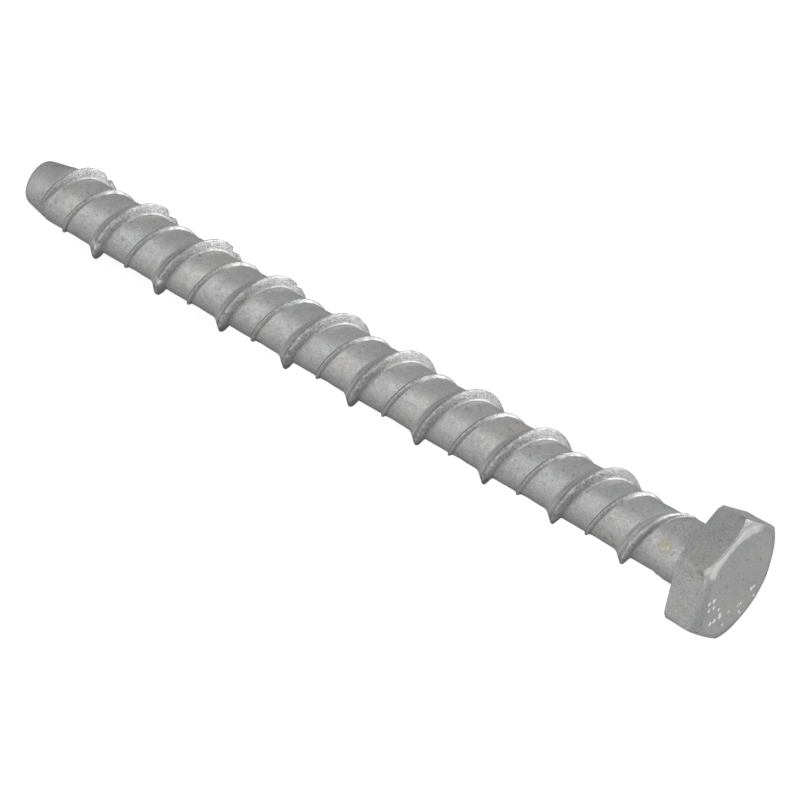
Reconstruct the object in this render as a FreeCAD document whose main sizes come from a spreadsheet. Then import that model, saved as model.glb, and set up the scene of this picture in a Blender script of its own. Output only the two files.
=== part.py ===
"""Concrete screw: one forged piece with a hexagon head, a high cutting thread and a low guide thread.

Each body lies along X, with the tip at the origin and the head towards +X. The finished screw is
tilted about Y so that it lies on the ground, on one flat of its head and on the high thread.
"""
import FreeCAD, Part
import math
import os

import Sketcher

SIZES = (
    ("under_head_length", 120.0, "tip to the underside of the head"),
    ("core_diameter", 8.65, "shank between the threads"),
    ("tip_length", 4.4, "tapered end of the shank"),
    ("tip_diameter", 6.9, "small end of the taper"),
    ("tip_chamfer", 0.2, "edge break around the end of the tip"),
    ("neck_rise", 0.34, "plain neck under the head, above the core"),
    ("neck_length", 5.5, "neck, to the underside of the head"),
    ("neck_slope", 0.6, "length of the cone from the core up to the neck"),
    ("neck_flare", 0.4, "cone that joins the neck to the head"),
    ("head_across_flats", 17.0, "hexagon, with its zinc coat"),
    ("head_height", 5.1, "underside to end face"),
    ("head_face_diameter", 15.6, "circle where the chamfer meets the end face"),
    ("head_chamfer_angle", 26.0, "degrees from the end face"),
    ("head_relief", 0.3, "chamfer on the corners of the underside"),
    ("thread_lead", 11.88, "advance of both threads in one turn"),
    ("thread_sink", 0.7, "depth of the thread roots below the core"),
    ("thread_stop", 1.0, "where both helices stop, from the head"),
    ("high_height", 1.4, "crest of the high thread, above the core"),
    ("high_crest", 0.28, "width of the flat crest"),
    ("high_tip_flank", 1.7, "axial width of the flank that faces the tip"),
    ("high_head_flank", 0.6, "axial width of the flank that faces the head"),
    ("high_phase", 9.0, "first crest on the +Y side, from the tip"),
    ("high_run_in", 6.6, "full height begins, from the tip"),
    ("high_run_in_angle", 25.4, "degrees from the axis"),
    ("high_run_out", 9.4, "full height ends, from the head"),
    ("high_run_out_angle", 14.0, "degrees from the axis"),
    ("low_height", 0.375, "crest of the low thread, above the core"),
    ("low_crest", 0.2, "width of the flat crest"),
    ("low_flank", 0.37, "axial width of each flank"),
    ("low_offset", 5.09, "from the high crest to the low one behind it"),
    ("low_run_in", 4.8, "full height begins, from the tip"),
    ("low_run_out", 6.7, "full height ends, from the head"),
    ("low_run_angle", 12.0, "degrees from the axis, at both ends"),
    ("notch_depth", 0.8, "cut into the crest, at the tip end"),
    ("notch_first", 5.0, "where that depth is reached, from the tip"),
    ("notch_last", 52.0, "where the cut has faded out, from the tip"),
    ("notch_wall_slope", 0.3, "width of the steep wall for 1 mm of depth"),
    ("notch_rest", 0.01, "cut left into the crest, at the head end"),
    ("notch_ramp_slope", 3.2, "width of the ramp for 1 mm of depth"),
    ("notch_angle_a", 3.5, "degrees from +Y towards +Z"),
    ("notch_angle_b", 155.5, "degrees from +Y towards +Z"),
    ("cut_margin", 0.5, "how far the cutting profiles reach past the metal"),
)

CORE = "Sizes.core_diameter / 2"
NECK = "(Sizes.core_diameter / 2 + Sizes.neck_rise)"
HIGH = "(Sizes.core_diameter / 2 + Sizes.high_height)"
LOW = "(Sizes.core_diameter / 2 + Sizes.low_height)"
ROOT = "(Sizes.core_diameter / 2 - Sizes.thread_sink)"


def add_sheet(doc):
    sheet = doc.addObject("Spreadsheet::Sheet", "Sizes")
    for row, (alias, value, note) in enumerate(SIZES, start=1):
        sheet.set("A%d" % row, alias)
        sheet.set("B%d" % row, str(value))
        sheet.set("C%d" % row, note)
        sheet.setAlias("B%d" % row, alias)
    doc.recompute()
    return sheet


def origin_part(body, role):
    return next(item for item in body.Origin.OriginFeatures if item.Role == role)


def add_sketch(body, name, plane):
    sketch = body.newObject("Sketcher::SketchObject", name)
    sketch.AttachmentSupport = [(origin_part(body, plane), "")]
    sketch.MapMode = "FlatFace"
    return sketch


def place_point(sketch, line, axis, formula):
    """Ties the start of a line to the sketch origin along one axis by a formula."""
    if formula == "0":
        other_axis = -2 if axis == "X" else -1
        sketch.addConstraint(Sketcher.Constraint("PointOnObject", line, 1, other_axis))
        return
    place = sketch.Geometry[line].StartPoint
    value = place.x if axis == "X" else place.y
    index = sketch.addConstraint(Sketcher.Constraint("Distance" + axis, -1, 1, line, 1, value))
    sketch.setExpression("Constraints[%d]" % index, formula)


def value_of(sheet, formula):
    result = sheet.evalExpression(formula)
    return float(getattr(result, "Value", result))


def add_outline(sketch, sheet, corners):
    """Draws a closed outline, each corner a pair of formulas for its two coordinates."""
    places = [FreeCAD.Vector(value_of(sheet, a), value_of(sheet, b), 0) for a, b in corners]
    count = len(places)
    for index in range(count):
        sketch.addGeometry(Part.LineSegment(places[index], places[(index + 1) % count]), False)
    for index in range(count):
        sketch.addConstraint(Sketcher.Constraint("Coincident", index, 2, (index + 1) % count, 1))
    for index, (across, up) in enumerate(corners):
        place_point(sketch, index, "X", across)
        place_point(sketch, index, "Y", up)


def add_revolved(body, kind, sketch):
    feature = body.newObject("PartDesign::" + kind, kind)
    feature.Profile = sketch
    feature.ReferenceAxis = (sketch, ["H_Axis"])
    feature.Angle = 360.0
    return feature


def add_shank(body, sheet):
    sketch = add_sketch(body, "ShankProfile", "XZ_Plane")
    neck = "Sizes.under_head_length - Sizes.neck_length"
    add_outline(sketch, sheet, (
        ("0", "0"),
        ("0", "Sizes.tip_diameter / 2 - Sizes.tip_chamfer"),
        ("Sizes.tip_chamfer", "Sizes.tip_diameter / 2"),
        ("Sizes.tip_length", CORE),
        (neck, CORE),
        (neck + " + Sizes.neck_slope", NECK),
        ("Sizes.under_head_length - Sizes.neck_flare", NECK),
        ("Sizes.under_head_length", NECK + " + Sizes.neck_flare"),
        ("Sizes.under_head_length", "0"),
    ))
    return add_revolved(body, "Revolution", sketch)


def add_head(body, sheet):
    """A hexagon with one flat down, so that the screw can lie on it."""
    sketch = add_sketch(body, "Hexagon", "YZ_Plane")
    sketch.setExpression("AttachmentOffset.Base.z", "Sizes.under_head_length")
    corner = "Sizes.head_across_flats / sqrt(3)"
    flat = "Sizes.head_across_flats / 2"
    add_outline(sketch, sheet, (
        (corner, "0"),
        (corner + " / 2", flat),
        ("-" + corner + " / 2", flat),
        ("-" + corner, "0"),
        ("-" + corner + " / 2", "-" + flat),
        (corner + " / 2", "-" + flat),
    ))
    pad = body.newObject("PartDesign::Pad", "Head")
    pad.Profile = sketch
    pad.setExpression("Length", "Sizes.head_height")
    return pad


def add_head_chamfers(body, sheet):
    """Cones take the hexagon's corners off at the end face and, less, at the underside."""
    outer = "(Sizes.head_across_flats / sqrt(3) + Sizes.cut_margin)"
    end = "Sizes.under_head_length + Sizes.head_height"
    face = "Sizes.head_face_diameter / 2"
    slope = "tan(Sizes.head_chamfer_angle * 1 deg)"
    sketch = add_sketch(body, "EndChamferProfile", "XZ_Plane")
    add_outline(sketch, sheet, (
        (end, face),
        (end + " + Sizes.cut_margin", face),
        (end + " + Sizes.cut_margin", outer),
        ("%s - (%s - %s) * %s" % (end, outer, face, slope), outer),
    ))
    add_revolved(body, "Groove", sketch)
    under = "Sizes.under_head_length"
    reach = "(Sizes.head_relief + Sizes.cut_margin)"
    sketch = add_sketch(body, "UndersideReliefProfile", "XZ_Plane")
    add_outline(sketch, sheet, (
        (under + " - Sizes.cut_margin", outer),
        (under + " - Sizes.cut_margin", "%s - %s - Sizes.cut_margin" % (outer, reach)),
        ("%s + %s" % (under, reach), outer),
    ))
    return add_revolved(body, "Groove", sketch)


def add_thread(body, sheet, crest, radius, tip_flank, head_flank, start):
    """Sweeps a left-hand thread whose roots reach thread_sink below the core."""
    grow = "(%s - %s) / (%s - %s)" % (radius, ROOT, radius, CORE)
    sketch = add_sketch(body, "ThreadProfile", "XY_Plane")
    add_outline(sketch, sheet, (
        ("%s - %s / 2 - %s * %s" % (start, crest, tip_flank, grow), ROOT),
        ("%s - %s / 2" % (start, crest), radius),
        ("%s + %s / 2" % (start, crest), radius),
        ("%s + %s / 2 + %s * %s" % (start, crest, head_flank, grow), ROOT),
    ))
    helix = body.newObject("PartDesign::AdditiveHelix", "Thread")
    helix.Profile = sketch
    helix.ReferenceAxis = (sketch, ["H_Axis"])
    helix.Mode = "pitch-height-angle"
    helix.setExpression("Pitch", "Sizes.thread_lead")
    helix.setExpression("Height", "Sizes.under_head_length - Sizes.thread_stop - (%s)" % start)
    helix.LeftHanded = True
    return helix


def add_run_in(body, sheet, radius, full, angle):
    """Cuts the thread down to the core towards the tip, along a cone."""
    low = "(%s - Sizes.cut_margin)" % ROOT
    high = "(%s + Sizes.cut_margin)" % radius
    slope = "tan(%s * 1 deg)" % angle
    sketch = add_sketch(body, "RunInProfile", "XZ_Plane")
    add_outline(sketch, sheet, (
        ("-Sizes.thread_lead", low),
        ("%s - (%s - %s) / %s" % (full, radius, low, slope), low),
        ("%s + Sizes.cut_margin / %s" % (full, slope), high),
        ("-Sizes.thread_lead", high),
    ))
    return add_revolved(body, "Groove", sketch)


def add_run_out(body, sheet, radius, full, angle):
    """Cuts the thread down to the neck towards the head, along a cone."""
    low = "(%s - Sizes.cut_margin)" % ROOT
    high = "(%s + Sizes.cut_margin)" % radius
    slope = "tan(%s * 1 deg)" % angle
    last = "Sizes.under_head_length + Sizes.thread_lead"
    begin = "Sizes.under_head_length - " + full
    sketch = add_sketch(body, "RunOutProfile", "XZ_Plane")
    add_outline(sketch, sheet, (
        (last, low),
        ("%s + (%s - %s) / %s" % (begin, radius, low, slope), low),
        ("%s - Sizes.cut_margin / %s" % (begin, slope), high),
        (last, high),
    ))
    return add_revolved(body, "Groove", sketch)


def add_notch(body, sheet, angle):
    """Saws through the crests of the first turns, less and less deep, along one side."""
    top = "(%s + Sizes.cut_margin)" % HIGH
    sections = []
    for place, depth in (("Sizes.notch_first", "Sizes.notch_depth"), ("Sizes.notch_last", "Sizes.notch_rest")):
        sketch = add_sketch(body, "NotchSection", "YZ_Plane")
        sketch.setExpression("AttachmentOffset.Base.z", place)
        sketch.setExpression("AttachmentOffset.Rotation.Angle", angle)
        width = "(%s + Sizes.cut_margin)" % depth
        add_outline(sketch, sheet, (
            ("%s - %s" % (HIGH, depth), "0"),
            (top, "%s * Sizes.notch_ramp_slope" % width),
            (top, "-%s * Sizes.notch_wall_slope" % width),
        ))
        sections.append(sketch)
    loft = body.newObject("PartDesign::SubtractiveLoft", "Notch")
    loft.Profile = sections[0]
    loft.Sections = [sections[1]]
    loft.Ruled = True
    return loft


def add_body(doc, name):
    body = doc.addObject("PartDesign::Body", name)
    body.Label = name
    return body


def make_blank(doc, sheet):
    body = add_body(doc, "blank")
    add_shank(body, sheet)
    add_head(body, sheet)
    add_head_chamfers(body, sheet)
    return body


def make_high_thread(doc, sheet):
    body = add_body(doc, "high_thread")
    start = "Sizes.high_phase - Sizes.thread_lead"
    add_thread(body, sheet, "Sizes.high_crest", HIGH, "Sizes.high_tip_flank", "Sizes.high_head_flank", start)
    add_run_in(body, sheet, HIGH, "Sizes.high_run_in", "Sizes.high_run_in_angle")
    add_run_out(body, sheet, HIGH, "Sizes.high_run_out", "Sizes.high_run_out_angle")
    add_notch(body, sheet, "Sizes.notch_angle_a")
    add_notch(body, sheet, "Sizes.notch_angle_b")
    return body


def make_low_thread(doc, sheet):
    body = add_body(doc, "low_thread")
    start = "Sizes.high_phase + Sizes.low_offset - Sizes.thread_lead"
    add_thread(body, sheet, "Sizes.low_crest", LOW, "Sizes.low_flank", "Sizes.low_flank", start)
    add_run_in(body, sheet, LOW, "Sizes.low_run_in", "Sizes.low_run_angle")
    add_run_out(body, sheet, LOW, "Sizes.low_run_out", "Sizes.low_run_angle")
    return body


def lay_down(screw):
    """Tilts the screw until a head flat and the lowest crest of the high thread touch the ground.

    The origin is then on the ground, halfway between the ends.
    """
    crest = "(Sizes.high_phase + Sizes.thread_lead / 4)"
    drop = "(Sizes.head_across_flats / 2 - %s)" % HIGH
    tilt = "asin(%s / (Sizes.under_head_length - %s))" % (drop, crest)
    tip_end = "(Sizes.tip_chamfer - Sizes.tip_diameter / 2) * sin(%s)" % tilt
    length = "(Sizes.under_head_length + Sizes.head_height)"
    head_end = "%s * cos(%s) + Sizes.head_face_diameter / 2 * sin(%s)" % (length, tilt, tilt)
    screw.Placement = FreeCAD.Placement(FreeCAD.Vector(), FreeCAD.Rotation(FreeCAD.Vector(0, -1, 0), 1.0))
    screw.setExpression("Placement.Rotation.Angle", tilt)
    screw.setExpression("Placement.Base.x", "-(%s + %s) / 2" % (tip_end, head_end))
    screw.setExpression("Placement.Base.z", "%s * cos(%s) - %s * sin(%s)" % (HIGH, tilt, crest, tilt))


def make_screw(doc, sheet):
    screw = doc.addObject("Part::MultiFuse", "concrete_screw")
    screw.Label = "concrete_screw"
    screw.Shapes = [make_blank(doc, sheet), make_high_thread(doc, sheet), make_low_thread(doc, sheet)]
    lay_down(screw)
    return screw


def check(doc):
    for item in doc.Objects:
        assert "Invalid" not in item.State and "Error" not in item.State, item.Label
        if hasattr(item, "Shape") and not item.isDerivedFrom("App::OriginFeature"):
            assert not item.Shape.isNull() and item.Shape.isValid(), item.Label


def main():
    doc = FreeCAD.newDocument("ConcreteScrew")
    sheet = add_sheet(doc)
    screw = make_screw(doc, sheet)
    doc.recompute()
    check(doc)
    assert len(screw.Shape.Solids) == 1
    os.makedirs("parts", exist_ok=True)
    screw.Shape.exportStep("parts/%s.step" % screw.Label)


main()
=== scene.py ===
"""A galvanised concrete screw lying on a pale floor, seen from above its head end."""
import math

import bpy
import numpy as np
from mathutils import Euler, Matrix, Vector


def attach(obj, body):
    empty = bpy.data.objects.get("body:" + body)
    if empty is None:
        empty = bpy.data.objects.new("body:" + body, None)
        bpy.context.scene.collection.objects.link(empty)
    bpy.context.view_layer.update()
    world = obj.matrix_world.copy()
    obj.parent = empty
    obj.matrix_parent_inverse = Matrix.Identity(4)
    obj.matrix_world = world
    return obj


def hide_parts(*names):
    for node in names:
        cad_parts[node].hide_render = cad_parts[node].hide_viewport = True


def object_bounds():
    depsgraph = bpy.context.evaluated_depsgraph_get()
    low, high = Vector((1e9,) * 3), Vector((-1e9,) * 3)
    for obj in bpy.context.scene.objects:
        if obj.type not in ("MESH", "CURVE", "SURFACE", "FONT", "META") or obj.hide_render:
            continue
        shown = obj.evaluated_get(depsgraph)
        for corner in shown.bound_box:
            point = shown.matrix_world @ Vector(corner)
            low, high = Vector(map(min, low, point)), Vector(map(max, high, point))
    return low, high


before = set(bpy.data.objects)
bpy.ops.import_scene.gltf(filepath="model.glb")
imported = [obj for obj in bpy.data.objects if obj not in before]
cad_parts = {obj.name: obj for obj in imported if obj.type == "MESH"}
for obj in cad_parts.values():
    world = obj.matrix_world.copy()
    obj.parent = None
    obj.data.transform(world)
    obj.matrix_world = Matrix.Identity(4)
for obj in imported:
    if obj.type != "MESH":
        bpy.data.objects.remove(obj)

cad_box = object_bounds()

# Sizes in millimetres, in the screw's own frame: X along its axis from the tip to the head, and
# angles around it from Y towards Z. TIP, CORE, NECK, FACE, FACE_IN, HIGH and LOW are radii.
MM = 0.001
UNDER_HEAD = 120.0
CORE = 4.325
TIP_LENGTH = 4.4
TIP = 3.45
TIP_CHAMFER = 0.2
NECK = 4.665
NECK_LENGTH = 5.5
NECK_SLOPE = 0.6
NECK_EASE = 0.7
NECK_FLARE = 0.4
FLATS = 17.0
CORNERS = FLATS / math.sqrt(3) * 2
HEAD = 5.1
FACE = 7.8
FACE_IN = 7.2
RELIEF = 0.3
RIM_DROP = 0.95
RIM_REACH = 2.6
RIM_POWER = 3.2
RIM_POINTS = 8
EDGE_SOFT = 0.11
CORNER_SOFT = 1.0
WORN_SOFT = 2.4
WORN_CORNER = (math.radians(120), math.radians(20))
UNDERSIDE_SOFT = 3.2
HEAD_COLUMNS = (-2.4, -1.8, -1.4, -0.6, 0.6, 1.4, 1.8, 2.4)

# The threads: phases, run-in and run-out as a place with its slope, and sections as axial places
# from the middle of the crest with heights over the core.
LEAD = 11.88
HIGH = 5.725
HIGH_CREST = 0.28
HIGH_HEAD_FLANK = 0.6
HIGH_PHASE = 9.0
HIGH_RUN_IN = (6.6, math.tan(math.radians(25.4)))
HIGH_RUN_OUT = (UNDER_HEAD - 9.4, math.tan(math.radians(14)))
HIGH_SECTION = ((-5, 0), (-3.3, 0), (-2.5, 0.01), (-1.9, 0.05), (-1.5, 0.25),
                (-HIGH_CREST / 2, HIGH - CORE), (HIGH_CREST / 2, HIGH - CORE),
                (HIGH_CREST / 2 + HIGH_HEAD_FLANK, 0.05), (0.95, 0), (4, 0))
LOW = 4.7
LOW_CREST = 0.2
LOW_TIP_FLANK = 0.26
LOW_HEAD_FLANK = 0.37
LOW_OFFSET = 5.19
LOW_RUN_IN = (4.8, math.tan(math.radians(12)))
LOW_RUN_OUT = (UNDER_HEAD - 6.7, math.tan(math.radians(12)))
LOW_SECTION = ((-2, 0), (-LOW_CREST / 2 - LOW_TIP_FLANK, 0), (-LOW_CREST / 2, LOW - CORE),
               (LOW_CREST / 2, LOW - CORE), (LOW_CREST / 2 + LOW_HEAD_FLANK, 0), (2, 0))
CORE_SECTION = ((-1, TIP - 2 * TIP_CHAMFER), (0, TIP - TIP_CHAMFER), (TIP_CHAMFER, TIP),
                (TIP_LENGTH, CORE), (UNDER_HEAD - NECK_LENGTH - NECK_EASE, CORE),
                (UNDER_HEAD - NECK_LENGTH + NECK_SLOPE + NECK_EASE, NECK),
                (UNDER_HEAD - NECK_FLARE, NECK), (UNDER_HEAD + 1, NECK + 2 * NECK_FLARE))

# Two rows of notches in the high crest. In the first row, from the second turn on, they are
# deeper and shifted, and their long ramp is on the other side.
NOTCHES = (math.radians(3.5), math.radians(155.5))
NOTCH_DEPTH = 0.8
NOTCH_FIRST = 5.0
NOTCH_LAST = 52.0
NOTCH_FADE = 0.4
NOTCH_WALL = 0.3
NOTCH_RAMP = 3.2
NOTCH_REACH = 1.2
NO_NOTCH = 99.0
LATER_START = (15, 24)
LATER_DEPTH = 0.35
LATER_SHIFT = math.radians(7.5)
LATER_WALL = 2.4
LATER_RAMP = 0.4

# Unevenness of the zinc: noises as an amount, the size of their features and a shift.
WANDER = ((0.06, 3.0, 0.0), (0.035, 0.9, 0.0))
CORE_WAVES = ((0.02, 5.0, 7.0), (0.012, 1.6, 3.0))
HIGH_WAVES = ((0.02, 2.2, 5.0),)
LOW_WAVES = ((0.10, 2.0, 9.0), (0.08, 0.5, 2.5))
RAGGED_CREST = ((0.035, 0.7, 15.0), (0.03, 0.35, 21.0))
RAGGED_SINK = 0.02
SHANK_GRAIN = ((0.006, 0.6, 2.0), (0.004, 0.3, 4.0))
CREST_GRAIN = ((0.03, 0.55, 6.0), (0.02, 0.33, 8.0))
HEAD_GRAIN = ((0.012, 2.4, 2.0), (0.005, 0.8, 3.0), (0.004, 0.4, 4.0))
HEAD_SINK = 0.025

# A slight hollow in the core beyond the low thread, and how softly threads and core meet.
HOLLOW = 0.06
HOLLOW_PLACE = (6.8, 0.9)
BLEND = 0.03

# The shank's mesh: rows over one lead, each group with its first place and number of rows, and
# columns in degrees, with more of them beside each notch.
ROW_PLAN = ((-2.4, 4), (-1.84, 11), (-0.14, 3), (0.14, 6), (0.74, 4), (1.3, 12),
            (LOW_OFFSET - 0.79, 3), (LOW_OFFSET - 0.47, 4), (LOW_OFFSET - 0.1, 2),
            (LOW_OFFSET + 0.1, 4), (LOW_OFFSET + 0.47, 3), (LOW_OFFSET + 0.79, 13))
COLUMN_STEP = 3.5
NOTCH_COLUMNS = (-2.4, -1.6, -0.8, 0, 0.8, 1.6)
COLUMN_GAP = 0.5
END_DOME = 0.05
END_OVERLAP = 0.1

# Tones of the shank. A row has an amount, the masks that limit it, and bells: a middle and a width
# over turn (degrees), x (from the tip), u or v (from the crest of the high or the low thread).
# The first table and the last are dark: painted shade in the roots, behind the crests, on the side
# away from the light, on the tip and where the neck meets the head, with dark specks of the grain
# and a dark smudge. The second is painted highlights in broken patches, and the others are painted
# highlights.
# Painted shade in the roots, behind the crests and on the side away from the light; negative rows
# take some of it back, and the last row is dark specks of the grain.
SHADE_AND_SPECKS = (
    (0.15, ("raised",), {"v": (-0.33, 0.12)}),
    (0.6, ("raised", "upper"), {"v": (-0.33, 0.12)}),
    (0.9, ("raised",), {"v": (0.44, 0.12)}),
    (-0.8, ("raised", "upper"), {"v": (0.44, 0.12)}),
    (0.65, ("underside",), {"u": (0.72, 0.2)}),
    (0.5, ("lower", "broken"), {"u": (-0.45, 0.15)}),
    (0.35, ("upper",), {"u": (0.62, 0.13)}),
    (0.3, ("shoulder",), {"turn": (27, 13)}),
    (0.3, ("core",), {"turn": (105, 28), "x": (7.3, 1.3)}),
    (0.2, ("core",), {"turn": (60, 25), "x": (110.3, 1.8)}),
    (0.15, ("behind",), {"turn": (66, 20)}),
    (0.2, ("core",), {"turn": (190, 12)}),
    (0.9, ("flank",), {"turn": (202, 24)}),
    (0.1, ("top", "ridge"), {}),
    (0.9, ("dark_specks",), {}),
)
# Painted highlights in broken patches beside the thread roots, on the side towards the light.
BROKEN_HIGHLIGHTS = (
    (0.12, ("top", "rising"), {"u": (0.78, 0.1)}),
    (0.42, ("upper",), {"v": (0.45, 0.18)}),
)
SHINE_BEFORE_NECK = (
    (0.27, ("upper",), {"u": (1.3, 0.45)}),
    (0.12, ("upper",), {"u": (-0.6, 0.45)}),
    (0.15, (), {"turn": (60, 25), "u": (-0.2, 0.4)}),
)
SHINE_ON_THREADS = (
    (0.1, (), {"u": (-1.35, 0.55)}),
    (-0.04, ("top",), {"u": (-1.35, 0.55)}),
    (0.19, ("lower",), {"u": (-1.0, 0.24)}),
    (0.05, ("core",), {"turn": (108, 11)}),
    (0.2, ("light_specks",), {}),
    (0.5, (), {"turn": (84, 22), "x": (6.2, 1.3), "u": (-0.45, 0.3)}),
    (0.1, (), {"turn": (105, 22), "x": (111.5, 2.0), "u": (0.2, 0.4)}),
    (0.35, (), {"turn": (82, 15), "x": (113.0, 1.3), "u": (0.0, 0.45)}),
    (0.35, ("top", "on_high"), {"u": (0.3, 0.16), "x": (UNDER_HEAD - 8.5, 2.5)}),
)
SHINE_AT_ENDS = (
    (0.055, ("neck",), {"turn": (140, 28)}),
    (0.06, (), {"turn": (112, 22), "x": (2.6, 1.5)}),
)
# Painted shade on the tip and a painted contact shadow where the neck meets the head, and a dark
# smudge near the tip.
SHADE_AND_SMUDGE_AT_ENDS = (
    (0.25, (), {"turn": (150, 25), "x": (4.2, 1.8)}),
    (0.22, ("tip",), {"turn": (45, 25)}),
    (0.4, ("flare",), {}),
    (-0.16, ("flare",), {"turn": (140, 28)}),
    (0.7, ("smudgy",), {"from_smudge": (0, 0.6)}),
)

# Where a dark smudge lies, the turn of the top, and the middle and width of the mask upper.
SMUDGE = (6.3, -2.88, 3.2)
TOP_TURN = math.radians(65)
UPPER_TURN = (50, 36)

# Tones of the head, in degrees around it: where painted shade on one flat and a painted highlight
# on the rim begin and end. Then painted glints on drops of zinc on the end face: where each lies,
# across and up, and its radius.
SHADED_FLAT = ((56, 62), (113, 119))
HIGHLIT_RIM = ((26, 44), (121, 127))
RIM_EDGE = 0.12
HEAD_ROUGH = 0.12
GLINTS = ((-5.75, 2.1, 0.36), (-4.75, 1.62, 0.42), (-6.14, 0.95, 0.3), (-5.1, 0.35, 0.33),
          (-4.3, -1.2, 0.26), (-4.22, -2.3, 0.3), (-4.4, -2.9, 0.42), (-6.4, -1.95, 0.38),
          (-5.6, -2.35, 0.42), (-4.2, -5.2, 0.3), (-2.58, -4.1, 0.2), (2.45, -5.05, 0.38),
          (3.0, -5.2, 0.24), (2.6, -7.0, 0.26), (-0.1, -5.36, 0.32), (-0.79, -5.14, 0.18),
          (-0.74, -6.5, 0.2), (-0.55, -7.1, 0.18))

# Patterns of the zinc, per metre: scale, detail and roughness of a noise, and the range of it
# that counts. Then the stain on the neck, with its ring and its spot in metres.
PATTERNS = {
    "clouds": (190, 5, 0.6, 0.3, 0.7),
    "specks": (1200, 5, 0.85, 0.34, 0.66),
    "grain": (6000, 2, 0.85, 0.36, 0.64),
    "crumbs": (3600, 3, 0.75, 0.36, 0.64),
    "pits": (1300, 2, 0.55, 0.65, 0.72),
}
STAIN_TURN = math.radians(122)
STAIN = (115.5, NECK * math.cos(STAIN_TURN), NECK * math.sin(STAIN_TURN))
STAIN_WOBBLE = 0.0012
STAIN_RING = (0.0020, 0.0014)
STAIN_SPOT = (0.0010, 0.0007)
BUMP_DISTANCE = 0.00006

# Lamps one metre away: turn and rise in degrees, and power. Then the floor.
LAMPS = ((225, 45, 2.5), (60, 15, 8.7), (240, 15, 1.2), (0, 15, 3.4), (30, 15, 1.1))
LAMP_SIZE = 0.5
FLOOR_SIZE = 6.0
FLOOR_GREY = 0.25
FLOOR_GLOW = 0.8

# The screw lies on its high thread and on one flat of its head: how far it is tilted and moved.
FIRST_CREST = HIGH_PHASE + LEAD / 4
TILT = math.asin((FLATS / 2 - HIGH) / (UNDER_HEAD - FIRST_CREST))
TIP_END = (TIP_CHAMFER - TIP) * math.sin(TILT)
HEAD_END = (UNDER_HEAD + HEAD) * math.cos(TILT) + FACE * math.sin(TILT)
BASE = (-(TIP_END + HEAD_END) / 2, 0.0, HIGH * math.cos(TILT) - FIRST_CREST * math.sin(TILT))

# Random values at the points of a lattice, which the noise joins up and repeats.
LATTICE_SIZE = 48
LATTICE = np.random.default_rng(11).random((LATTICE_SIZE,) * 3)
LATTICE_SHIFT = 100.3


def noise(points, scale, shift=0.0):
    """Smooth value noise between -1 and 1, with features about as large as scale."""
    place = points / scale + LATTICE_SHIFT + shift
    cell = np.floor(place).astype(int)
    part = place - cell
    part = part * part * (3 - 2 * part)
    total = np.zeros(len(points))
    for corner in range(8):
        step = np.array([corner & 1, corner >> 1 & 1, corner >> 2])
        weight = np.prod(np.where(step, part, 1 - part), axis=1)
        x, y, z = ((cell + step) % LATTICE_SIZE).T
        total += weight * LATTICE[x, y, z]
    return total * 2 - 1


def add_waves(start, points, waves):
    """A value with several noises added, each an amount, a scale and a shift."""
    for amount, scale, shift in waves:
        start = start + amount * noise(points, scale, shift)
    return start


def smooth_table(places, values, step, spread):
    """A polyline as an even table, with its corners rounded."""
    grid = np.arange(places[0] - 4 * spread, places[-1] + 4 * spread, step)
    line = np.interp(grid, places, values)
    reach = int(math.ceil(4 * spread / step))
    kernel = np.exp(-0.5 * (np.arange(-reach, reach + 1) * step / spread) ** 2)
    padded = np.pad(line, reach, mode="edge")
    return grid, np.convolve(padded, kernel / kernel.sum(), mode="valid")


CORE_TABLE = smooth_table(*zip(*CORE_SECTION), step=0.02, spread=0.1)
HIGH_TABLE = smooth_table(*zip(*HIGH_SECTION), step=0.01, spread=0.05)
LOW_TABLE = smooth_table(*zip(*LOW_SECTION), step=0.01, spread=0.06)


def smooth_max(a, b, blend):
    """The greater of two values, with a soft change from one to the other."""
    share = np.clip(0.5 + (a - b) / (2 * blend), 0, 1)
    return b + (a - b) * share + blend * share * (1 - share)


def bell(value, middle, width):
    """One at the middle, falling to about a third at the width."""
    return np.exp(-((value - middle) / width) ** 2)


def step_up(value, low, high):
    """A soft step from zero at low to one at high."""
    share = np.clip((value - low) / (high - low), 0, 1)
    return share * share * (3 - 2 * share)


def window(value, rise, fall):
    """One between a soft rise and a soft fall, each with its start and end."""
    return step_up(value, *rise) * (1 - step_up(value, *fall))


def from_crest(helical, start):
    """Axial distance from the nearest crest of a thread."""
    return (helical - start + LEAD / 2) % LEAD - LEAD / 2


def notch_limit(x, angle, middle):
    """Radius that a notch leaves: a steep wall on one side, a long ramp on the other."""
    depth = np.clip((NOTCH_LAST - x) / (NOTCH_LAST - NOTCH_FIRST), 0, 1) ** NOTCH_FADE
    depth = NOTCH_DEPTH * depth
    later = step_up(x, *LATER_START) * (middle == NOTCHES[0])
    depth = depth * (1 + LATER_DEPTH * later)
    turn = (angle - middle - LATER_SHIFT * later + math.pi) % (2 * math.pi) - math.pi
    ramp = NOTCH_RAMP + (LATER_RAMP - NOTCH_RAMP) * later
    wall = NOTCH_WALL + (LATER_WALL - NOTCH_WALL) * later
    slope = np.where(turn > 0, np.sin(turn) / ramp, -np.sin(turn) / wall)
    span = np.cos(turn) - slope
    limit = (HIGH - depth) / np.maximum(span, 0.01)
    far = (np.abs(turn) > NOTCH_REACH) | (depth <= 0)
    return np.where(far, NO_NOTCH, limit)


def sink(x, run_in, run_out):
    """How far a thread has sunk into the core near its ends."""
    near_tip = (run_in[0] - x) * run_in[1]
    near_head = (x - run_out[0]) * run_out[1]
    return np.maximum(np.maximum(near_tip, near_head), 0)


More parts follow.
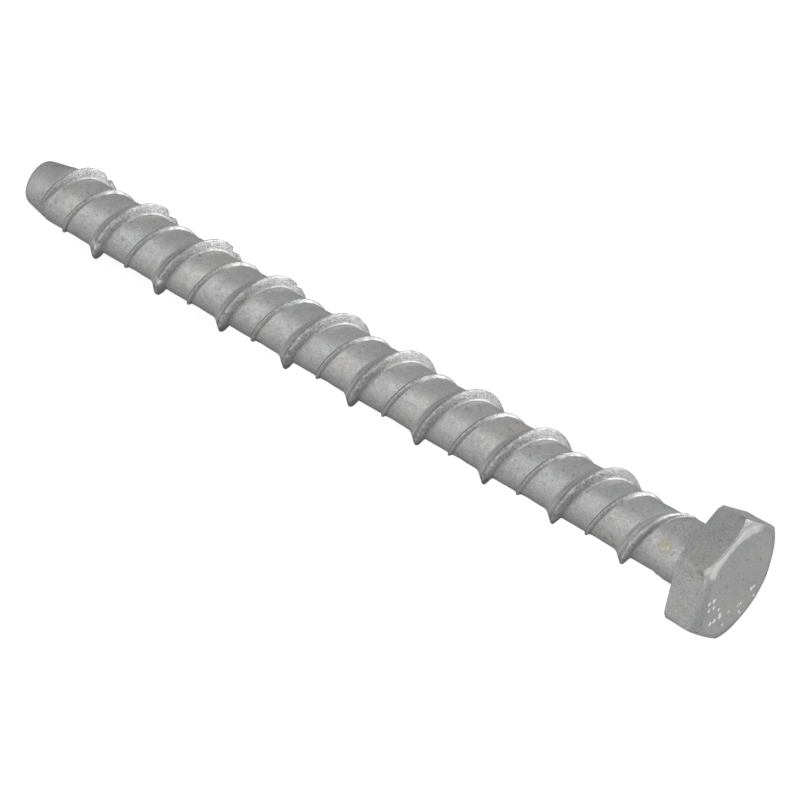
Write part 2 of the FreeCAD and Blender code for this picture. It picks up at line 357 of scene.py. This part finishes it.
def shank_radius(x, angle):
    """Radius of the tip, core, threads and neck, at a distance from the tip and an angle."""
    helical = x + LEAD * angle / (2 * math.pi)
    ring = np.stack([x, CORE * np.cos(angle), CORE * np.sin(angle)], 1)
    wander = add_waves(0.0, ring, WANDER)
    place = from_crest(helical, HIGH_PHASE) + wander
    on_thread = window(x, (6, 12), (UNDER_HEAD - 9, UNDER_HEAD - 6))
    core = add_waves(np.interp(x, *CORE_TABLE), ring, CORE_WAVES)
    core = core - on_thread * HOLLOW * bell((helical - HIGH_PHASE) % LEAD, *HOLLOW_PLACE)
    high = np.interp(place, *HIGH_TABLE) * add_waves(1, ring, HIGH_WAVES)
    ragged = add_waves(0.0, ring, RAGGED_CREST) - RAGGED_SINK
    high = high + ragged * step_up(high, 0.7, 1.3)
    low = np.interp(from_crest(helical, HIGH_PHASE + LOW_OFFSET) + wander * 0.7, *LOW_TABLE)
    low = low * add_waves(1, ring, LOW_WAVES)
    high = core + high - sink(x, HIGH_RUN_IN, HIGH_RUN_OUT)
    for middle in NOTCHES:
        high = np.minimum(high, notch_limit(x, angle, middle))
    low = core + low - sink(x, LOW_RUN_IN, LOW_RUN_OUT)
    return np.maximum(core, smooth_max(smooth_max(high, low, BLEND), core, BLEND))


def tone(rows, where):
    """The sum of a table's patches at each point, from the places and masks in where."""
    total = 0.0
    for amount, masks, bells in rows:
        patch = amount
        for name in masks:
            patch = patch * where[name]
        for name, (middle, width) in bells.items():
            patch = patch * bell(where[name], middle, width)
        total = total + patch
    return total


def shank_places(points):
    """Where points of the shank lie, and the masks by which its tones are limited."""
    x, y, z = points.T
    angle = np.arctan2(z, y) % (2 * math.pi)
    turn = np.degrees(angle)
    helical = x + LEAD * angle / (2 * math.pi)
    u = from_crest(helical, HIGH_PHASE)
    v = from_crest(helical, HIGH_PHASE + LOW_OFFSET)
    height = np.hypot(y, z) - np.interp(x, *CORE_TABLE)
    top = np.clip(0.5 + 0.5 * np.cos(angle - TOP_TURN), 0, 1) ** 1.5
    upper = bell((turn - UPPER_TURN[0] + 180) % 360 - 180, 0, UPPER_TURN[1])
    core = height < 0.1
    on_high = step_up(height, 0.06, 0.3)
    crest = bell(u, 0.0, 0.4) * on_high
    dark_specks = np.clip(noise(points, 0.45, 17.0) * 3.2 - 0.4, 0, 1) * crest * (1 - 0.6 * top)
    return {
        "x": x, "turn": turn, "u": u, "v": v, "height": height,
        "from_smudge": np.hypot(np.hypot(x - SMUDGE[0], y - SMUDGE[1]), z - SMUDGE[2]),
        "top": top, "underside": 1 - top, "upper": upper, "lower": 1 - upper,
        "core": core, "raised": height > -0.2, "rising": height > -0.1,
        "flank": step_up(height, 0.2, 0.9), "shoulder": step_up(height, 0.8, 1.3),
        "ridge": step_up(height, 0.9, 1.3), "on_high": on_high,
        "on_low": step_up(height, 0.1, 0.3) * (np.abs(v) < 0.8),
        "behind": step_up((helical - HIGH_PHASE) % LEAD, 2.0, 2.8) * core,
        "broken": np.clip(0.7 + noise(points, 1.2, 8.0), 0, 1),
        "smudgy": np.clip(0.6 + 1.2 * noise(points, 0.4, 25.0), 0, 1),
        "dark_specks": dark_specks,
        "light_specks": np.clip(noise(points, 0.5, 27.0) * 3.0 - 0.5, 0, 1) * crest,
        "tip": 1 - step_up(x, 3.5, 6.0),
        "neck": step_up(x, UNDER_HEAD - 7, UNDER_HEAD - 5),
        "flare": step_up(x, UNDER_HEAD - 2, UNDER_HEAD),
    }


def shank_marks(points):
    """Where the zinc is granular, where painted shade darkens it, and where painted highlights
    brighten it.
    """
    where = shank_places(points)
    x, top = where["x"], where["top"]
    granular = where["on_high"] * step_up(where["u"], -0.25, 0.05) * (0.25 + 0.75 * top)
    granular = np.maximum(granular, where["on_high"] * 0.9 * step_up(where["height"], 0.5, 1.2))
    patchy = 0.65 + 0.35 * noise(points, 3.0, 31.0)
    rough = np.maximum(granular, (0.4 + 0.5 * top) * where["on_low"]) * patchy
    threads = window(x, (3.5, 7), (UNDER_HEAD - 5.5, UNDER_HEAD - 4.5))
    fading = 1 - 0.9 * step_up(x, UNDER_HEAD - 14, UNDER_HEAD - 9)
    uneven = 0.8 + 0.4 * noise(points, 1.5, 5.0)
    # Painted highlights: broken patches and others that end before the neck, then those on the
    # threads and at the ends.
    painted_highlight = tone(BROKEN_HIGHLIGHTS, where) * np.clip(0.55 + 1.6 * noise(points, 0.5, 12.0), 0, 1.2)
    painted_highlight = painted_highlight + tone(SHINE_BEFORE_NECK, where)
    painted_highlight = painted_highlight * (1 - step_up(x, UNDER_HEAD - 6.3, UNDER_HEAD - 4.8))
    painted_highlight = (painted_highlight + tone(SHINE_ON_THREADS, where)) * threads + tone(SHINE_AT_ENDS, where)
    # Painted shade in the roots, behind the crests, on the side away from the light and at the
    # ends, with dark specks of the grain and a dark smudge.
    shade_and_smudge = tone(SHADE_AND_SPECKS, where) * threads * uneven * fading + tone(SHADE_AND_SMUDGE_AT_ENDS, where)
    return {"rough": rough * threads * fading, "shade_and_smudge": shade_and_smudge, "painted_highlight": painted_highlight}


def rim_drop(radius):
    """How far the rounded rim of the end face lies below its middle."""
    return RIM_DROP * (np.clip(radius - FACE_IN, 0, None) / RIM_REACH) ** RIM_POWER


def head_marks(points):
    """Painted shade on one flat and its edges, a painted highlight on the rim, painted glints on
    the drops.
    """
    x = points[:, 0] - UNDER_HEAD
    radius = np.hypot(points[:, 1], points[:, 2])
    turn = np.degrees(np.arctan2(points[:, 2], points[:, 1]))
    uneven = noise(points, 0.8, 4.0)
    edge = HEAD - rim_drop(radius) - RIM_EDGE
    on_face = x > edge
    flat = (radius > FLATS / 2 - 0.15) * (x > 0.2) * (x < edge)
    outer = step_up(radius, 8.2, 8.9)
    # over: the rim next to the shaded flat, which gets painted shade instead of a painted
    # highlight.
    over = step_up(points[:, 2] + 0.1 * uneven, 8.05, 8.3) * window(turn, *SHADED_FLAT)

    # A painted highlight on a band of the rim, within the lit turns and weaker at its outer edge.
    inner = 7.08 + 0.8 * np.clip((55 - turn) / 40, 0, 1) - 0.6 * np.clip((turn - 115) / 15, 0, 1)
    rim = step_up(radius + 0.12 * uneven, inner - 0.1, inner + 0.15) * on_face
    lit = window(turn, *HIGHLIT_RIM)
    painted_highlight = rim * lit * (0.36 - 0.34 * outer + 0.06 * uneven) * (1 - over)
    # Painted light: the end face a little lighter away from the rim band.
    painted_highlight = painted_highlight + 0.03 * (x > HEAD - 0.2) * (1 - rim)
    # Painted glints where drops of zinc lie on the end face.
    for y, z, size in GLINTS:
        away = np.hypot(points[:, 1] - y, points[:, 2] - z) + 0.12 * noise(points, 0.35, 9.0)
        shine = 0.75 + 0.25 * noise(points, 0.5, 14.0)
        painted_glint = shine * (1 - step_up(away, 0.5 * size, size * 1.1)) * (x > HEAD - 0.3)
        painted_highlight = np.maximum(painted_highlight, painted_glint)

    # Painted shade on one flat, on its edges where highlights would show, and on the rim outside
    # the lit turns.
    rise, fall = SHADED_FLAT
    painted_shade = 0.36 * flat * step_up(turn, *rise) * (1 - step_up(turn + 1.5 * uneven, *fall))
    corner = 1.2 * bell(turn, 60, 1.9) * flat * step_up(x, HEAD - 2.5, HEAD - 1)
    corner = corner + (0.55 + 0.25 * uneven) * bell(turn, 121, 4.5) * flat
    corner = corner + 0.7 * bell(turn, 122, 2.0) * flat * step_up(x, HEAD - 2.4, HEAD - 1.2)
    painted_shade = painted_shade + 0.9 * corner + 0.12 * rim * (1 - lit)
    painted_shade = painted_shade + 0.4 * (over + outer * bell(turn, 123, 3)) * on_face
    painted_shade = painted_shade + 0.3 * rim * bell(turn, 58, 9) * step_up(radius, 8.7, 9.2)
    return {"rough": np.full(len(x), HEAD_ROUGH), "shade_and_smudge": painted_shade, "painted_highlight": painted_highlight}


def row_places():
    """Helical places of the mesh rows over one lead, close together on the threads."""
    starts, counts = zip(*ROW_PLAN)
    ends = starts[1:] + (starts[0] + LEAD,)
    return np.concatenate([np.linspace(start, end, count, endpoint=False)
                           for start, end, count in zip(starts, ends, counts)])


def column_angles():
    """Angles of the mesh columns, without those that lie too close to the next."""
    even = np.arange(0, 360, COLUMN_STEP) + COLUMN_STEP
    extra = np.concatenate([np.degrees(middle) + np.array(NOTCH_COLUMNS) for middle in NOTCHES])
    angles = np.unique(np.round(np.concatenate([even % 360, extra % 360]), 3))
    keep = np.append(np.diff(angles) > COLUMN_GAP, angles[-1] < 360 - COLUMN_GAP)
    return np.radians(angles[keep])


def add_mesh(name, points, faces):
    """A smooth-shaded mesh in the scene, from points in millimetres."""
    mesh = bpy.data.meshes.new(name)
    mesh.from_pydata((points * MM).tolist(), [], faces)
    mesh.validate()
    mesh.polygons.foreach_set("use_smooth", np.ones(len(mesh.polygons), bool))
    thing = bpy.data.objects.new(name, mesh)
    bpy.context.scene.collection.objects.link(thing)
    return thing


def lay_down(points):
    """From the screw's own frame to the frame in which it lies on the ground."""
    turn = np.array(((math.cos(TILT), 0, -math.sin(TILT)),
                     (0, 1, 0),
                     (math.sin(TILT), 0, math.cos(TILT))))
    return points @ turn.T + np.array(BASE)


def on_axis(x, radius, angle):
    """Points at a distance from the tip, a radius and an angle."""
    return np.stack([x, radius * np.cos(angle), radius * np.sin(angle)], -1)


def join_faces(corners):
    """Quads from four lists of vertex numbers, with those that have shrunk to a line left out."""
    faces = []
    for quad in zip(*corners):
        kept = [v for k, v in enumerate(quad) if v != quad[k - 1]]
        if len(set(kept)) == len(kept) and len(kept) > 2:
            faces.append(kept)
    return faces


def grid_faces(ids, following):
    """Faces between the rows of a grid of vertex numbers, each place with its next column's."""
    corners = (ids[:-1], following[:-1], following[1:], ids[1:])
    return join_faces([corner.ravel() for corner in corners])


def close_end(points, faces, ring, x_at, shares, outward):
    """Adds rings from an end of the shank to its middle, and returns all the points."""
    before = ring
    for share in shares:
        start = len(points)
        spread = points[ring][:, 1:] * share
        lift = END_DOME * (1 - share ** 2) * outward
        inner = np.column_stack([np.full(len(ring), x_at + lift), spread])
        points = np.vstack([points, inner])
        now = np.arange(start, start + len(ring))
        quads = (before, np.roll(before, -1), np.roll(now, -1), now)
        faces.extend(join_faces(quads if outward < 0 else quads[::-1]))
        before = now
    faces.append(before.tolist() if outward < 0 else before[::-1].tolist())
    return points


def build_shank():
    """The shank on a grid whose rows follow the threads and whose columns lie along the axis."""
    pattern = row_places() + HIGH_PHASE - LEAD
    leads = int(math.ceil((UNDER_HEAD + LEAD) / LEAD)) + 2
    helical = np.concatenate([pattern + LEAD * (turn - 1) for turn in range(leads + 1)])
    angles = column_angles()
    end = UNDER_HEAD + END_OVERLAP
    x = helical[:, None] - LEAD * angles[None, :] / (2 * math.pi)
    first = (x <= 0).sum(0) - 1
    last = (x < end).sum(0)
    counts = last - first + 1
    offset = np.concatenate([[0], np.cumsum(counts)[:-1]])
    columns = [np.clip(x[first[j]:last[j] + 1, j], 0, end) for j in range(len(angles))]
    flat_x = np.concatenate(columns)
    flat_angle = np.repeat(angles, counts)
    points = on_axis(flat_x, shank_radius(flat_x, flat_angle), flat_angle)

    rows = np.arange(len(helical))
    ids = np.clip(rows[:, None], first, last) - first + offset
    wrapped = np.clip(rows - len(pattern), 0, None)
    following = np.concatenate([ids[:, 1:], ids[wrapped][:, :1]], 1)
    faces = grid_faces(ids, following)
    points = close_end(points, faces, offset, 0.0, (0.97, 0.9, 0.75, 0.55, 0.35, 0.15), -1)
    points = close_end(points, faces, offset + counts - 1, end, (0.5, 0.1), 1)
    return add_mesh("screw_shank", points, faces)


def head_outline(angles, softness):
    """Radius of the hexagon around its axis, with its corners softened by an angle in degrees."""
    per_degree, reach = 10, 200
    fine = np.radians(np.arange(0, 360, 1 / per_degree))
    off = (fine - math.pi / 2 + math.pi / 6) % (math.pi / 3) - math.pi / 6
    radius = FLATS / 2 / np.cos(off)
    kernel = np.exp(-0.5 * (np.arange(-reach, reach + 1) / (per_degree * softness)) ** 2)
    padded = np.concatenate([radius[-reach:], radius, radius[:reach]])
    soft = np.convolve(padded, kernel / kernel.sum(), mode="valid")
    return np.interp(angles, fine, soft, period=2 * math.pi)


def eased(angles):
    """Shares from zero to one that are close together at both ends."""
    return 0.5 - 0.5 * np.cos(angles)


def head_steps():
    """Shares of each straight part of the head's section, close together near its corners."""
    wide = eased(np.linspace(0, math.pi, 14, endpoint=False))
    relief = np.linspace(0, 1, 5, endpoint=False)
    rim = np.linspace(0, 1, 3, endpoint=False)
    face = eased(np.linspace(0, math.pi, 71))
    return (wide, relief, wide) + (rim,) * (RIM_POINTS - 1) + (face,)


def head_section(radius):
    """Points of the head's section from beside the neck to the end face, with soft edges."""
    relief = np.clip(radius - (CORNERS / 2 - RELIEF), 0.0, RELIEF)
    rim = np.linspace(radius, FACE_IN, RIM_POINTS)
    marks = np.vstack([((NECK - 0.4, 0), (radius - relief, 0), (radius, relief)),
                       np.column_stack([rim, HEAD - rim_drop(rim)]), ((0.05, HEAD),)])
    # Without a relief two marks would be the same, so each is moved on by next to nothing.
    marks += np.array((0.0, 1e-9)) * np.arange(len(marks))[:, None]
    lengths = np.hypot(*np.diff(marks, axis=0).T)
    along = np.concatenate([[0], np.cumsum(lengths)])
    places = np.concatenate([along[k] + share * lengths[k] for k, share in enumerate(head_steps())])
    out, up = (np.interp(places, *smooth_table(along, values, step=0.02, spread=EDGE_SOFT))
               for values in marks.T)
    return out, UNDER_HEAD + up


def build_head():
    """The head as a section at each degree, and a few more at the middle of each flat."""
    extra = 30 + np.array(HEAD_COLUMNS)
    sector = np.unique(np.round(np.concatenate([np.arange(0, 60, 1.0), extra]), 2))
    angles = np.radians(np.concatenate([sector + 60 * k for k in range(6)]))
    worn = bell(angles, *WORN_CORNER)
    outline = head_outline(angles, CORNER_SOFT) * (1 - worn)
    outline = outline + head_outline(angles, WORN_SOFT) * worn
    radius, x = np.array([head_section(value) for value in outline]).transpose(1, 2, 0)
    softer = head_outline(angles, UNDERSIDE_SOFT) / outline - 1
    near_neck = 1 - step_up(x, UNDER_HEAD + 0.5, UNDER_HEAD + 3.5)
    radius = radius * (1 + softer * near_neck * step_up(radius, FLATS / 2 - 1, FLATS / 2))
    rows, columns = radius.shape
    points = on_axis(x.ravel(), radius.ravel(), np.tile(angles, rows))
    ids = np.arange(rows * columns).reshape(rows, columns)
    faces = grid_faces(ids, np.roll(ids, -1, axis=1))
    faces.append(ids[-1].tolist())
    faces.append(ids[0][::-1].tolist())
    return add_mesh("screw_head", points, faces)


def shank_grain(points, rough):
    """A fine grain all over and a coarse one where the zinc is granular."""
    return add_waves(0.0, points, SHANK_GRAIN) + rough * add_waves(0.0, points, CREST_GRAIN)


def head_grain(points, rough):
    """A gentle unevenness, a little inwards so that the head stays inside the CAD box."""
    return add_waves(0.0, points, HEAD_GRAIN) - HEAD_SINK


def finish_piece(thing, grain, marks):
    """Adds tones, painted shade and highlights among them, and the zinc's unevenness, and lays the
    piece down inside the CAD box.
    """
    count = len(thing.data.vertices)
    points = np.empty(count * 3)
    thing.data.vertices.foreach_get("co", points)
    points = points.reshape(-1, 3) / MM
    normals = np.empty(count * 3)
    thing.data.vertex_normals.foreach_get("vector", normals)
    tones = marks(points)
    for name, values in tones.items():
        layer = thing.data.attributes.new(name, "FLOAT", "POINT")
        layer.data.foreach_set("value", np.clip(values, 0, 1))
    points += normals.reshape(-1, 3) * grain(points, tones["rough"])[:, None]
    placed = lay_down(points) * MM
    low, high = (np.array(corner) for corner in cad_box)
    thing.data.vertices.foreach_set("co", np.clip(placed, low, high).ravel())
    thing.data.update()
    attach(thing, "root")
    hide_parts("concrete_screw")
    return thing


def add_node(tree, kind, **settings):
    node = tree.nodes.new(kind)
    for name, value in settings.items():
        setattr(node, name, value)
    return node


def feed(tree, socket, value):
    """Links a socket to another one, or sets it to a plain value."""
    if isinstance(value, bpy.types.NodeSocket):
        tree.links.new(value, socket)
    else:
        socket.default_value = value


def add_noise(tree, vector, scale, detail, rough):
    node = add_node(tree, "ShaderNodeTexNoise")
    for name, value in (("Scale", scale), ("Detail", detail), ("Roughness", rough),
                        ("Vector", vector)):
        feed(tree, node.inputs[name], value)
    return node.outputs["Fac"]


def add_range(tree, value, low, high, to_low=0.0, to_high=1.0):
    node = add_node(tree, "ShaderNodeMapRange")
    for name, number in (("Value", value), ("From Min", low), ("From Max", high),
                         ("To Min", to_low), ("To Max", to_high)):
        feed(tree, node.inputs[name], number)
    return node.outputs["Result"]


def add_mix(tree, factor, first, second):
    node = add_node(tree, "ShaderNodeMix", data_type="RGBA", blend_type="MIX")
    for place, value in ((0, factor), (6, first), (7, second)):
        feed(tree, node.inputs[place], value)
    return node.outputs[2]


def add_math(tree, operation, first, second):
    node = add_node(tree, "ShaderNodeMath", operation=operation)
    feed(tree, node.inputs[0], first)
    feed(tree, node.inputs[1], second)
    return node.outputs[0]


def add_coat(tree, color, cover, amount, tint):
    """A tint over a colour, up to an amount where the cover is one."""
    return add_mix(tree, add_math(tree, "MULTIPLY", cover, amount), color, tint)


def grey(value, warm=0.0):
    """A grey as a colour, a little warm or cold."""
    return (value * (1 + warm), value, value * (1 - warm), 1)


def make_zinc():
    """Galvanised steel: soft mottle, fine grain, dark pits, a granular coat on the thread, painted
    highlights and shade.
    """
    material = bpy.data.materials.new("galvanised_zinc")
    material.use_nodes = True
    tree = material.node_tree
    shader = tree.nodes["Principled BSDF"].inputs
    place = add_node(tree, "ShaderNodeTexCoord").outputs["Object"]
    rough, shade_and_smudge, painted_highlight = (
        add_node(tree, "ShaderNodeAttribute", attribute_name=name).outputs["Fac"]
        for name in ("rough", "shade_and_smudge", "painted_highlight"))
    pattern = {name: add_range(tree, add_noise(tree, place, scale, detail, jagged), low, high)
               for name, (scale, detail, jagged, low, high) in PATTERNS.items()}

    color = add_mix(tree, pattern["clouds"], grey(0.243, -0.03), grey(0.311, 0.034))
    color = add_coat(tree, color, pattern["specks"], 0.58, grey(0.13, -0.01))
    color = add_coat(tree, color, pattern["grain"], 0.56, grey(0.43))
    coarse = add_mix(tree, pattern["crumbs"], grey(0.09), grey(0.48))
    color = add_coat(tree, color, rough, 0.85, coarse)
    # Painted highlights and glints: a near-white colour where the marks say.
    color = add_mix(tree, painted_highlight, color, grey(0.85))
    color = add_coat(tree, color, pattern["pits"], 0.42, grey(0.08))
    # Painted shade, with dark specks of the grain and a dark smudge: a dark grey where the marks
    # say.
    color = add_coat(tree, color, shade_and_smudge, 0.6, grey(0.07))

    away = add_node(tree, "ShaderNodeVectorMath", operation="DISTANCE")
    feed(tree, away.inputs[0], place)
    feed(tree, away.inputs[1], tuple(lay_down(np.array(STAIN)) * MM))
    wobble = add_math(tree, "MULTIPLY", pattern["specks"], STAIN_WOBBLE)
    wobbly = add_math(tree, "ADD", away.outputs["Value"], wobble)
    color = add_coat(tree, color, add_range(tree, wobbly, *STAIN_RING), 0.45, (0.2, 0.18, 0.11, 1))
    color = add_coat(tree, color, add_range(tree, wobbly, *STAIN_SPOT), 0.7, (0.5, 0.48, 0.34, 1))

    sheen = add_range(tree, pattern["specks"], 0, 1, 0.48, 0.6)
    sheen = add_math(tree, "SUBTRACT", sheen, add_math(tree, "MULTIPLY", painted_highlight, 0.14))
    fine = add_noise(tree, place, 4800, 3, 0.7)
    bumps = add_math(tree, "ADD", add_noise(tree, place, 1600, 4, 0.7), fine)
    depth = add_math(tree, "ADD", add_math(tree, "MULTIPLY", rough, 0.9), 0.45)
    bump = add_node(tree, "ShaderNodeBump")
    for name, value in (("Distance", BUMP_DISTANCE), ("Strength", depth), ("Height", bumps)):
        feed(tree, bump.inputs[name], value)
    for name, value in (("Metallic", 0.85), ("Specular Tint", grey(0.1)), ("Base Color", color),
                        ("Roughness", sheen), ("Normal", bump.outputs["Normal"])):
        feed(tree, shader[name], value)
    return material


def make_lamps():
    """Round lamps that point at the middle of the screw."""
    for turn, rise, power in LAMPS:
        data = bpy.data.lights.new("lamp", "AREA")
        data.shape = "DISK"
        data.size = LAMP_SIZE
        data.energy = power
        turn, rise = math.radians(turn), math.radians(rise)
        toward = Vector((math.cos(rise) * math.cos(turn), math.cos(rise) * math.sin(turn),
                         math.sin(rise)))
        lamp = bpy.data.objects.new("lamp", data)
        lamp.location = toward
        lamp.rotation_euler = toward.to_track_quat("Z", "Y").to_euler()
        bpy.context.scene.collection.objects.link(lamp)


def make_stage():
    """A floor that looks white to the camera and keeps the shadow, and a white world."""
    scene = bpy.context.scene
    bpy.ops.mesh.primitive_plane_add(size=FLOOR_SIZE)
    floor = bpy.context.object
    floor.name = "floor"
    material = bpy.data.materials.new("floor_white")
    material.use_nodes = True
    tree = material.node_tree
    path = add_node(tree, "ShaderNodeLightPath").outputs
    seen = add_math(tree, "MAXIMUM", path["Is Camera Ray"], path["Is Glossy Ray"])
    seen = add_math(tree, "MAXIMUM", seen, path["Is Transmission Ray"])
    shader = tree.nodes["Principled BSDF"].inputs
    for name, value in (("Base Color", grey(FLOOR_GREY)), ("Roughness", 1.0),
                        ("Specular IOR Level", 0.0), ("Emission Color", grey(1.0)),
                        ("Emission Strength", add_math(tree, "MULTIPLY", seen, FLOOR_GLOW))):
        feed(tree, shader[name], value)
    floor.data.materials.append(material)
    world = bpy.data.worlds.new("studio")
    world.use_nodes = True
    world.node_tree.nodes["Background"].inputs["Color"].default_value = grey(1.0)
    world.node_tree.nodes["Background"].inputs["Strength"].default_value = 1.0
    scene.world = world
    scene.view_settings.view_transform = "Standard"


def make_camera():
    """The camera, as it was fitted to the outline in the photo."""
    data = bpy.data.cameras.new("camera")
    data.sensor_width = 36.0
    data.lens = 225.515
    data.clip_end = 10.0
    camera = bpy.data.objects.new("camera", data)
    camera.location = (0.304658, -0.248098, 0.580016)
    camera.rotation_euler = Euler([math.radians(a) for a in (33.21896, 8.07812, 38.37466)])
    bpy.context.scene.collection.objects.link(camera)
    bpy.context.scene.camera = camera


zinc = make_zinc()
shank = finish_piece(build_shank(), shank_grain, shank_marks)
head = finish_piece(build_head(), head_grain, head_marks)
for piece in (shank, head):
    piece.data.materials.append(zinc)
make_stage()
make_lamps()
make_camera()
